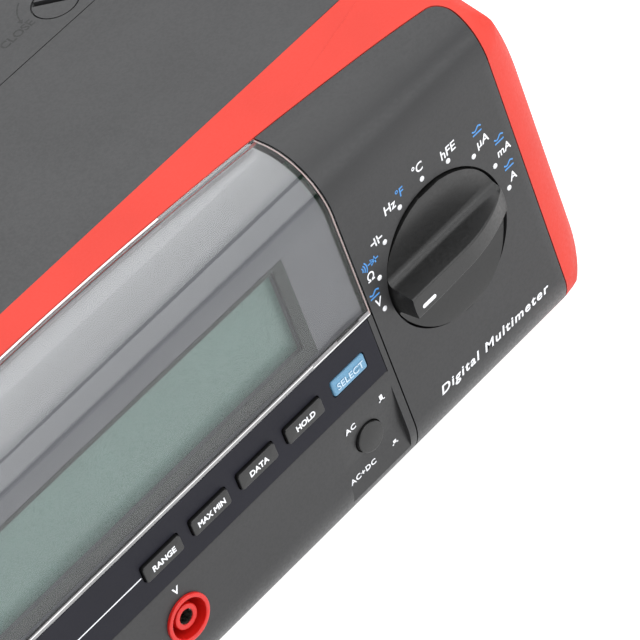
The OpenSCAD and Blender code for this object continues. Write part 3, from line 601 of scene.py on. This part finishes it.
def smoothed(name):
    """A copy of a node of the front end with the creases of its corners blended."""
    mesh = NODES[name].data.copy()
    mesh.transform(NODES[name].matrix_world)
    tool = bmesh.new()
    tool.from_mesh(mesh)
    bmesh.ops.remove_doubles(tool, verts=tool.verts, dist=0.002 * MM)
    bmesh.ops.triangulate(tool, faces=tool.faces)
    for _ in range(MOST_SPLITS):
        tool.verts.index_update()
        skin = on_skin(np.array([v.co for v in tool.verts]))
        long = [e for e in tool.edges
                if skin[e.verts[0].index] and skin[e.verts[1].index] and e.calc_length() > LONGEST_EDGE]
        if not long:
            break
        bmesh.ops.subdivide_edges(tool, edges=long, cuts=1)
        bmesh.ops.triangulate(tool, faces=[f for f in tool.faces if len(f.verts) > 3])
    tool.verts.index_update()
    points = np.array([v.co for v in tool.verts])
    skin = on_skin(points)
    moved = points[skin]
    for _ in range(STEPS_TO_SKIN):
        grad = slope(moved, MOVE_SOFT)
        moved = moved - grad * (front_end(moved, MOVE_SOFT) / (grad ** 2).sum(axis=1))[:, None]
    points[skin] = moved
    out = slope(points, SHADE_SOFT)
    out /= np.maximum(np.linalg.norm(out, axis=1), 1e-9)[:, None]
    for v in tool.verts:
        v.co = points[v.index]
    tool.normal_update()
    for e in tool.edges:
        e.smooth = len(e.link_faces) == 2 and e.calc_face_angle(0) < math.radians(25)
    tool.to_mesh(mesh)
    tool.free()
    mesh.name = name + "_smooth"
    piece = piece_from(name + "_smooth", mesh, MATERIALS[slots[name]])
    normals = []
    for polygon in mesh.polygons:
        for v in polygon.vertices:
            use = skin[v] and polygon.normal.dot(Vector(out[v])) > 0.85
            normals.append(tuple(out[v]) if use else (0, 0, 0))
    mesh.normals_split_custom_set(normals)
    return place(piece, "case", slots[name], name)


for name in ("front_frame", "knob_fascia", "meter_fascia"):
    smoothed(name)


# ---------- window details, with painted highlight and shade lines ---

def strip_along(name, path, width, material, lift=0.05 * MM, thick=0.3 * MM, slot="window_clear"):
    """A thin strip along a path: a painted highlight or painted shade line on the window, the dark joint line on
    the cover, or an arrow's shaft. path holds (point, outward, across) at each step.
    """
    points, faces = [], []
    for at, outward, across in path:
        for side, level in ((-1, 0), (1, 0), (1, 1), (-1, 1)):
            points.append(at + across * (side * width / 2) + outward * (lift if level == 0 else lift - thick))
    for i in range(len(path) - 1):
        a, b = 4 * i, 4 * i + 4
        faces += [(a + k, a + (k + 1) % 4, b + (k + 1) % 4, b + k) for k in range(4)]
    last = 4 * (len(path) - 1)
    faces += [(0, 1, 2, 3), (last, last + 1, last + 2, last + 3)]
    return place(piece_from(name, mesh_from(name, points, faces), material, smooth=False), "case", slot)


def over_the_top(x, z_from, y_to):
    """Steps up the front face at x, round the top edge and back along the top, with the outward direction."""
    steps = []
    bend_z = TOP - EDGE_R
    for z in np.linspace(z_from, bend_z, 8)[:-1]:
        steps.append((Vector((x, FRONT, z)), FRONTWARD))
    centre_y = FRONT + EDGE_R
    for a in np.linspace(0, 90, 19):
        out = Vector((0, -math.cos(math.radians(a)), math.sin(math.radians(a))))
        steps.append((Vector((x, centre_y, bend_z)) + out * EDGE_R, out))
    if y_to > centre_y:
        steps.append((Vector((x, y_to, TOP)), UP))
    return steps


ARCH_R = 775 * MM
ARCH_D = 24.9 * MM


def arch_y(x, inset):
    """Where the arched edge of the dark panels lies at x."""
    return FRONT + ARCH_D - ARCH_R + math.sqrt((ARCH_R - inset)**2 - x * x)


# painted highlight: a thin pink line down the window's side edge and over the top
edge_x = window_high.x - 0.35 * MM
side_steps = over_the_top(edge_x, window_low.z + 0.6 * MM, arch_y(edge_x, 1 * MM))
strip_along("window_side_highlight", [(p, out, ACROSS) for p, out in side_steps], 0.3 * MM, PAINTED_PINK_HIGHLIGHT)
LOW_Z = window_low.z + 0.9 * MM


def front_line(name, x0, x1, z, width, material, lift):
    """A thin line across the front face: the painted highlights along the window's lower edge, a dark slot and
    the dark seam under the button strip.
    """
    path = [(Vector((x, FRONT, z)), FRONTWARD, UP) for x in np.linspace(x0, x1, 5)]
    return strip_along(name, path, width, material, lift)


RIB_X0, RIB_X1 = window_low.x + 0.5 * MM, window_high.x - 0.3 * MM
STEP_X = 62 * MM                          # where the bright line steps from one level to the other
# painted highlights: grey and white lines along the window's lower edge
front_line("window_low_highlight", RIB_X0, RIB_X1, LOW_Z - 0.05 * MM, 1.35 * MM, PAINTED_GREY_HIGHLIGHT, 0.03 * MM)
front_line("window_low_line", RIB_X0, STEP_X, LOW_Z + 0.25 * MM, 0.26 * MM, PAINTED_WHITE_HIGHLIGHT, 0.06 * MM)
front_line("window_low_edge", STEP_X, RIB_X1, LOW_Z - 0.45 * MM, 0.24 * MM, PAINTED_WHITE_HIGHLIGHT, 0.06 * MM)
front_line("window_low_slot", 70.7 * MM, 78.5 * MM, LOW_Z + 0.6 * MM, 0.5 * MM, ENGRAVED, 0.06 * MM)
front_line("strip_seam", strip_low.x + 0.2 * MM, strip_high.x - 0.2 * MM, strip_low.z - 0.1 * MM, 0.3 * MM,
        ENGRAVED, 0.02 * MM)


def arch_line(name, x0, x1, inset, width, material):
    """A thin line on the top face, along the arched edge: painted highlights and a painted shade line."""
    path = [(Vector((x, arch_y(x, inset), TOP)), UP, BACKWARD) for x in np.linspace(x0, x1, 24)]
    return strip_along(name, path, width, material, 0.04 * MM)


# painted highlights along the window's arched top edge, and a line of painted shade beside them
arch_line("window_top_line_1", window_low.x + 1 * MM, -20 * MM, 1.1 * MM, 0.5 * MM, PAINTED_WHITE_HIGHLIGHT)
arch_line("window_top_line_2", -20 * MM, 52 * MM, 0.75 * MM, 0.5 * MM, PAINTED_WHITE_HIGHLIGHT)
arch_line("window_top_line_3", 52 * MM, 81 * MM, 1.2 * MM, 0.45 * MM, PAINTED_GREY_HIGHLIGHT)
arch_line("window_top_shade", window_low.x + 1 * MM, 80 * MM, 1.75 * MM, 0.3 * MM, BEZEL)


def corners_of(x0, x1, z0, z1):
    """The four corners of a rectangle, going round from its lower left."""
    return (x0, z0), (x1, z0), (x1, z1), (x0, z1)


def painted_display_shade():
    """Painted shade round the display: a thin flat dark ring just in front of the frame's face, where its inner
    bevel is shaded.
    """
    low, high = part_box("lcd_glass")
    x0, x1, z0, z1 = low.x + 4 * MM, high.x - 4 * MM, low.z + 3 * MM, high.z - 3 * MM
    outer_y, inner_y = FRONT + 2.1 * MM, FRONT + 2.2 * MM
    thick = 0.05 * MM
    out = corners_of(x0 - 3.4 * MM, x1 + 3.2 * MM, z0 - 2.6 * MM, z1 + 1.2 * MM)
    inn = corners_of(x0 + 0.6 * MM, x1 - 0.2 * MM, z0 + 1.4 * MM, z1 - 0.1 * MM)
    points = [(x, outer_y, z) for x, z in out] + [(x, inner_y, z) for x, z in inn]
    points += [(x, outer_y + thick, z) for x, z in out] + [(x, inner_y + thick, z) for x, z in inn]
    faces = []
    for k in range(4):
        j = (k + 1) % 4
        faces += [(k, j, 4 + j, 4 + k), (8 + k, 12 + k, 12 + j, 8 + j),
                  (k, 8 + k, 8 + j, j), (4 + k, 4 + j, 12 + j, 12 + k)]
    piece = piece_from("painted_display_shade", mesh_from("painted_display_shade", points, faces), PAINTED_SHADE_RING, smooth=False)
    return place(piece, "case", slots["lcd_frame"])


painted_display_shade()


# ---------- lettering ----------

INK_HALF = 0.04 * MM                      # half the thickness of printed ink


def words_mesh(name, text, size, bold, half, resolution, shear=0.0, spacing=1.0):
    """Words about the origin as a mesh in the XY plane, from -half to half thick."""
    curve = bpy.data.curves.new(name, "FONT")
    curve.body = text
    curve.size = size
    curve.shear = shear
    curve.offset = bold
    curve.align_x = "CENTER"
    curve.align_y = "CENTER"
    curve.extrude = half
    curve.resolution_u = resolution
    curve.space_character = spacing
    words = bpy.data.objects.new(name + "_curve", curve)
    bpy.context.scene.collection.objects.link(words)
    bpy.context.view_layer.update()
    mesh = bpy.data.meshes.new_from_object(words.evaluated_get(bpy.context.evaluated_depsgraph_get()))
    bpy.data.objects.remove(words)
    mesh.name = name
    return mesh


def label(name, text, x, z, size, material=WHITE_INK, y=FRONT, body="case", slot="panel_dark", shear=0.0,
          bold=0.0, stretch=1.0, spacing=1.0):
    """Printed words on the front. x and z are the middle of the words."""
    mesh = words_mesh(name, text, size, bold, INK_HALF, 4, shear, spacing)
    upright = Matrix.Rotation(math.pi / 2, 4, "X") @ Matrix.Scale(stretch, 4, (1, 0, 0))
    mesh.transform(Matrix.Translation((x, y, z)) @ upright)
    return place(piece_from(name, mesh, material, smooth=False), body, slot)


def strokes(name, lines, width, material, y=FRONT):
    """Printed lines of an even width, each given as its points (x, z) in metres."""
    points, faces = [], []
    for line in lines:
        path = [Vector(p) for p in line]
        start = len(points)
        for i, p in enumerate(path):
            before = path[max(i - 1, 0)]
            after = path[min(i + 1, len(path) - 1)]
            along = (after - before).normalized()
            side = Vector((-along.y, along.x)) * width / 2
            if i == 0 or i == len(path) - 1:
                stub = along * width * 0.25 * (1 if i else -1)
                p = p + stub
            for s in (1, -1):
                for depth in (-INK_HALF, INK_HALF):
                    q = p + side * s
                    points.append((q.x, y + depth, q.y))
        for i in range(len(path) - 1):
            a = start + i * 4
            b = a + 4
            faces += [(a, a + 2, b + 2, b), (a + 1, b + 1, b + 3, a + 3),
                      (a, b, b + 1, a + 1), (a + 2, a + 3, b + 3, b + 2)]
        last = start + (len(path) - 1) * 4
        faces += [(start, start + 1, start + 3, start + 2), (last, last + 2, last + 3, last + 1)]
    return place(piece_from(name, mesh_from(name, points, faces), material, smooth=False), "case", "panel_dark")


DOT_CIRCLE = 22.8 * MM
DOT_R = 0.72 * MM
DOT_STEP = 22.5                           # degrees from dot to dot, from the left over the top
DOT_PROFILE = [(DOT_R, FRONT + 0.05 * MM), (DOT_R, FRONT - 0.04 * MM), (0.01 * MM, FRONT - 0.045 * MM)]
for i in range(9):
    a = math.radians(180 - DOT_STEP * i)
    x, z = KNOB_X + DOT_CIRCLE * math.cos(a), KNOB_Z + DOT_CIRCLE * math.sin(a)
    place(lathe(f"dial_dot_{i}", DOT_PROFILE, x, z, WHITE_INK, 24), "case", "panel_dark")

# name, words, place from the selector's axis and size, in mm
DIAL = (
    ("volts", "V", -23.9, 2.8, 3.4), ("ohms", "Ω", -23.4, 10.9, 3.4), ("hertz", "Hz", -11.6, 23.3, 3.6),
    ("celsius", "°C", -0.5, 26.2, 3.5), ("gain", "hFE", 9.5, 23.6, 3.6), ("microamps", "µA", 19.9, 18.0, 3.5),
    ("milliamps", "mA", 25.0, 10.9, 3.3), ("amps", "A", 25.0, 2.1, 3.4),
)
for name, text, dx, dz, size in DIAL:
    label("dial_" + name, text, KNOB_X + dx * MM, KNOB_Z + dz * MM, size * MM, bold=0.04 * MM, shear=0.12)
label("dial_fahrenheit", "°F", KNOB_X - 7.6 * MM, KNOB_Z + 24.5 * MM, 3.3 * MM, BLUE_INK, bold=0.05 * MM,
      shear=0.12)

# the wave over a line that stands for alternating current
DIAL_WAVES = ((-24.0, 5.8), (19.5, 21.7), (24.8, 14.5), (25.0, 5.8))
for i, (dx, dz) in enumerate(DIAL_WAVES):
    cx, cz = KNOB_X + dx * MM, KNOB_Z + dz * MM
    wave = [(cx + t * 1.5 * MM, cz + 0.6 * MM + 0.42 * MM * math.sin(math.pi * t))
            for t in np.linspace(-1, 1, 17)]
    line = [(cx - 1.6 * MM, cz - 0.6 * MM), (cx + 1.3 * MM, cz - 0.6 * MM)]
    strokes(f"dial_wave_{i}", [wave, line], 0.42 * MM, BLUE_INK)

cap_x, cap_z = KNOB_X - 18.2 * MM, KNOB_Z + 18.4 * MM
strokes("dial_capacitor", [
    [(cap_x - 1.9 * MM, cap_z), (cap_x - 0.45 * MM, cap_z)],
    [(cap_x + 0.45 * MM, cap_z), (cap_x + 1.9 * MM, cap_z)],
    [(cap_x - 0.45 * MM, cap_z - 1.1 * MM), (cap_x - 0.45 * MM, cap_z + 1.1 * MM)],
    [(cap_x + 0.45 * MM, cap_z - 1.1 * MM), (cap_x + 0.45 * MM, cap_z + 1.1 * MM)]], 0.42 * MM, WHITE_INK)
dio_x, dio_z = KNOB_X - 21.0 * MM, KNOB_Z + 14.4 * MM
strokes("dial_diode", [
    [(dio_x - 1.9 * MM, dio_z), (dio_x + 1.6 * MM, dio_z)],
    [(dio_x + 0.5 * MM, dio_z - 0.9 * MM), (dio_x + 0.5 * MM, dio_z + 0.9 * MM)],
    [(dio_x + 0.5 * MM, dio_z), (dio_x - 0.9 * MM, dio_z + 0.85 * MM), (dio_x - 0.9 * MM, dio_z - 0.85 * MM),
     (dio_x + 0.5 * MM, dio_z)],
    *[arc(dio_x - 4.6 * MM, dio_z, r * MM, -38, 38, 6) for r in (0.9, 1.6, 2.3)]], 0.36 * MM, BLUE_INK)

SCOOP_Y = FRONT + 1.45 * MM               # the scoop's floor under the lower caption
low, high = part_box("ac_dc_button")
AC_X, AC_Z = (low.x + high.x) / 2, (low.z + high.z) / 2
label("mode_ac", "AC", AC_X - 4.6 * MM, AC_Z + 6.9 * MM, 2.1 * MM, bold=0.05 * MM, stretch=1.2, spacing=1.1)
label("mode_ac_dc", "AC+DC", AC_X - 4.8 * MM, AC_Z - 8.5 * MM, 2.05 * MM, y=SCOOP_Y,
      bold=0.05 * MM, stretch=1.2, spacing=1.12)
for name, dz, tall, y in (("out", 7.3, 1.4, FRONT), ("in", -8.4, 0.8, SCOOP_Y)):
    x0, z0 = AC_X + 6.6 * MM, AC_Z + dz * MM
    base = [(x0 - 0.95 * MM, z0 - 0.7 * MM), (x0 + 0.95 * MM, z0 - 0.7 * MM)]
    stem = [(x0, z0 - 0.6 * MM), (x0, z0 - 0.7 * MM + tall * MM)]
    strokes("mode_push_" + name, [base], 0.28 * MM, WHITE_INK, y)
    strokes("mode_stem_" + name, [stem], 1.0 * MM, WHITE_INK, y)

label("title", "Digital Multimeter", 112.8 * MM, 19.8 * MM, 3.55 * MM, bold=0.075 * MM, stretch=1.24,
      spacing=1.2, shear=0.25)
label("socket_volts_name", "V", 4.5 * MM, 35.3 * MM, 3.0 * MM, bold=0.07 * MM)


# ---------- signs and joint line on the cover ----------

cover_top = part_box("top_cover")[1].z
LOCK_X = 96.7 * MM                        # middle of a coin lock
LOCK_REACH = 7 * MM                       # from a coin lock's front edge to its middle
ARROW_STEPS = 14
SIGN_HALF = 0.02 * MM                     # half the thickness of a sign
JOINT_ENDS = 118                          # mm from the middle to each end of the joint line


def engraved(name, text, x, y, size):
    """Dark lettering on the cover: painted shade that stands for shallow engraving. It is a thin layer, not cut
    in.
    """
    mesh = words_mesh(name, text, size, 0.08 * MM, SIGN_HALF, 12)
    mesh.transform(Matrix.Translation((x, y, cover_top)))
    return place(piece_from(name, mesh, ENGRAVED, smooth=False), "lid", "case_grey")


def cover_arrow(name, cx, cy, r, start, end):
    """A curved arrow round a coin lock, dark as painted shade for an engraved arrow."""
    path = [Vector((cx + r * math.cos(math.radians(a)), cy + r * math.sin(math.radians(a)), cover_top))
            for a in np.linspace(start, end, ARROW_STEPS)]
    steps = []
    for i, p in enumerate(path):
        along = (path[min(i + 1, ARROW_STEPS - 1)] - path[max(i - 1, 0)]).normalized()
        steps.append((p, UP, along.cross(UP)))
    shaft = strip_along(name, steps, 0.4 * MM, ENGRAVED, SIGN_HALF, 2 * SIGN_HALF, "case_grey")
    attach(shaft, "lid")
    tip = path[-1]
    along = (path[-1] - path[-2]).normalized()
    side = along.cross(UP)
    corners = [tip + along * 1.5 * MM, tip + side * 0.8 * MM, tip - side * 0.8 * MM]
    points = [c + UP * SIGN_HALF for c in corners] + [c - UP * SIGN_HALF for c in corners]
    faces = [(0, 1, 2), (3, 5, 4), (0, 3, 4, 1), (1, 4, 5, 2), (2, 5, 3, 0)]
    head = piece_from(name + "_head", mesh_from(name + "_head", points, faces), ENGRAVED, smooth=False)
    place(head, "lid", "case_grey")


# the gap between the surround and the cover, along the straight part of the top
joint_y = frame_high.y + 0.2 * MM
joint = [(Vector((x, joint_y, cover_top)), UP, BACKWARD) for x in np.linspace(-JOINT_ENDS, JOINT_ENDS, 9) * MM]
strip_along("joint_line", joint, 0.34 * MM, ENGRAVED, 0.03 * MM, 0.3 * MM, "case_grey")

for side_name, lock_x in (("left", -LOCK_X), ("right", LOCK_X)):
    lock_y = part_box("coin_lock_" + side_name)[0].y + LOCK_REACH
    engraved("close_" + side_name, "CLOSE", lock_x - 13.2 * MM, lock_y + 0.2 * MM, 3.7 * MM)
    engraved("open_" + side_name, "OPEN", lock_x, lock_y + 13 * MM, 3.7 * MM)
    cover_arrow("turn_" + side_name, lock_x, lock_y, 9.8 * MM, 118, 160)


# ---------- words on the buttons, line in the strip ----------

BUTTON_TEXT = (("range", "RANGE"), ("max_min", "MAX MIN"), ("data", "DATA"), ("hold", "HOLD"))
for key, text in BUTTON_TEXT:
    low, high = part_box(key + "_button")
    label(key + "_name", text, (low.x + high.x) / 2, (low.z + high.z) / 2, 2.25 * MM, y=low.y - 0.01 * MM,
          body=key + "_key", slot="control_dark", bold=0.07 * MM, stretch=1.05 if len(text) < 6 else 0.98)
low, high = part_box("select_button")
label("select_name", "SELECT", (low.x + high.x) / 2, (low.z + high.z) / 2, 2.75 * MM, y=low.y - 0.01 * MM,
      body="select_key", slot="select_blue", bold=0.02 * MM, material=PALE_INK, stretch=1.04)

line_z = 46.5 * MM
bar("strip_line", strip_low.x + 3 * MM, -2.4 * MM, line_z, 0.16 * MM, FRONT - 0.04 * MM, 0.06 * MM,
    WHITE_INK, "case", "strip_blue_grey")


# ---------- stage: floor, lights, camera ----------

def floor():
    """A plain white floor that also gives off a little light, so that it stays pale under the case."""
    half = 6.0
    corners = [(-half, -half, 0), (half, -half, 0), (half, half, 0), (-half, half, 0)]
    mesh = mesh_from("floor", corners, [(0, 1, 2, 3)])
    material, tree, shader = nodes_of("floor_white")
    shader.inputs["Base Color"].default_value = (0.3, 0.3, 0.3, 1)
    shader.inputs["Roughness"].default_value = 0.8
    shader.inputs["Emission Color"].default_value = (1, 1, 1, 1)
    shader.inputs["Emission Strength"].default_value = 1.0
    piece_from("floor", mesh, material, smooth=False)


def softbox(name, place_at, aim, width, height, radiance):
    """An area light of a given brightness per area."""
    data = bpy.data.lights.new(name, "AREA")
    data.shape = "RECTANGLE"
    data.size, data.size_y = width, height
    data.energy = radiance * math.pi * width * height
    lamp = bpy.data.objects.new(name, data)
    bpy.context.scene.collection.objects.link(lamp)
    away = (Vector(place_at) - Vector(aim)).normalized()
    lamp.matrix_world = Matrix.Translation(place_at) @ away.to_track_quat("Z", "Y").to_matrix().to_4x4()


floor()
CENTRE = (0.05, -0.1, 0.08)
softbox("top_box", (0.35, 0.16, 1.60), CENTRE, 3.4, 3.1, 2.1)
softbox("front_box", (0.30, -1.75, 0.85), CENTRE, 3.2, 1.1, 2.6)

world = bpy.data.worlds.new("studio")
bpy.context.scene.world = world
world.use_nodes = True
world.node_tree.nodes["Background"].inputs["Color"].default_value = (0.9, 0.95, 1.0, 1)
world.node_tree.nodes["Background"].inputs["Strength"].default_value = 0.22

CAMERA_AT = Vector((-0.3853, -0.8451, 0.8157))
AIM = Vector((0.06864, -0.1124, 0.06691))
ROLL = math.radians(21.859)
LENS = 275.12

ahead = (AIM - CAMERA_AT).normalized()
level_right = ahead.cross(UP).normalized()
level_up = level_right.cross(ahead)
up = level_up * math.cos(ROLL) + level_right * math.sin(ROLL)
right = ahead.cross(up)
camera_data = bpy.data.cameras.new("camera")
camera_data.lens = LENS
camera_data.sensor_width = 36
camera_data.clip_start = 0.05
camera = bpy.data.objects.new("camera", camera_data)
bpy.context.scene.collection.objects.link(camera)
camera.matrix_world = Matrix.Translation(CAMERA_AT) @ Matrix((right, up, -ahead)).transposed().to_4x4()
bpy.context.scene.camera = camera
bpy.context.scene.view_settings.view_transform = "Standard"
